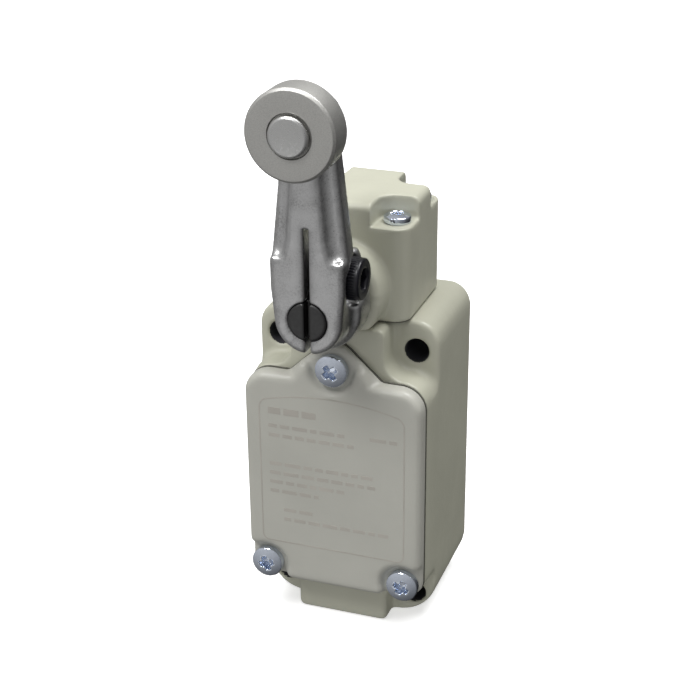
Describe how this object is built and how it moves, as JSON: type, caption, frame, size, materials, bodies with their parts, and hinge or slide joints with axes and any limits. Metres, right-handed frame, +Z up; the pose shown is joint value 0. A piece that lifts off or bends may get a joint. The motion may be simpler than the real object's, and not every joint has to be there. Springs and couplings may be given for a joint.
{
  "type": "limit switch",
  "caption": "Roller-lever limit switch: die-cast box with screwed cover, rotary head, split clamped lever with steel roller, and an internal push rod and snap switch.",
  "frame": {"origin": "centre of the rectangle of four mounting holes, on the flat back face", "axes": "+X to the right seen from the front, +Y out of the back face into the panel, +Z up along the lever at rest"},
  "size_m": [0.0398, 0.0557, 0.126],
  "materials": {
    "grey_paint": "satin, fine orange peel",
    "cast_metal": "die-cast, lightly polished on the sides",
    "sintered_steel": "matte",
    "zinc_plate": "bright zinc plating",
    "steel": "satin",
    "dark_steel": "oiled, dark",
    "black_oxide": "black oxide",
    "rubber": "matte",
    "bronze": "satin",
    "brass": "satin",
    "silver_contact": "satin",
    "phenolic": "matte",
    "button_plastic": "matte"
  },
  "bodies": {
    "case": {"housing": "grey_paint", "cover": "grey_paint", "cover_gasket": "rubber", "cover_screws": "zinc_plate", "head": "grey_paint", "head_gasket": "rubber", "head_screws": "zinc_plate", "front_bushing": "bronze", "rear_bushing": "bronze", "shaft_seal": "rubber", "thrust_washer": "steel", "torsion_spring": "steel", "rod_seal": "rubber", "rod_spring_seat": "steel", "rod_spring": "steel", "switch_base": "phenolic", "switch_lid": "phenolic", "button_spring": "steel", "closed_terminals": "brass", "open_terminals": "brass", "fixed_contacts": "silver_contact", "terminal_washers": "zinc_plate", "terminal_screws": "zinc_plate", "switch_screws": "zinc_plate", "ground_screw": "zinc_plate"},
    "lever_arm": {"lever": "cast_metal", "clamp_screw": "black_oxide", "shaft": "dark_steel", "cam": "steel", "retaining_ring": "steel", "roller_pin": "steel"},
    "roller": {"roller": "sintered_steel"},
    "rod": {"push_rod": "steel"},
    "button": {"switch_button": "button_plastic", "contact_spring": "steel"},
    "contacts": {"contact_bridge": "brass", "moving_contacts": "silver_contact"}
  },
  "joints": [
    {"name": "lever_swing", "type": "hinge", "parent": "case", "child": "lever_arm", "pos_m": [0, -0.04, 0.0432], "axis": [0, 1, 0], "range_deg": [-45, 45], "stiffness_Nm_per_rad": 0.6},
    {"name": "roller_spin", "type": "hinge", "parent": "lever_arm", "child": "roller", "pos_m": [0, -0.05125, 0.0822], "axis": [0, 1, 0], "continuous": true},
    {"name": "rod_press", "type": "slide", "parent": "case", "child": "rod", "axis": [0, 0, 1], "range_m": [-0.0018, 0], "stiffness_N_per_m": 2000, "springref_m": 0.001, "deforming": ["rod_spring"]},
    {"name": "button_press", "type": "slide", "parent": "case", "child": "button", "axis": [0, 0, 1], "range_m": [-0.0018, 0], "deforming": ["button_spring"]},
    {"name": "contact_shift", "type": "slide", "parent": "button", "child": "contacts", "axis": [0, 0, 1], "range_m": [0, 0.00072], "deforming": ["contact_spring"]}
  ],
  "couplings": [
    {"joint": "button_press", "follows": "rod_press", "ratio": 1},
    {"joint": "contact_shift", "follows": "rod_press", "ratio": -0.4}
  ]
}
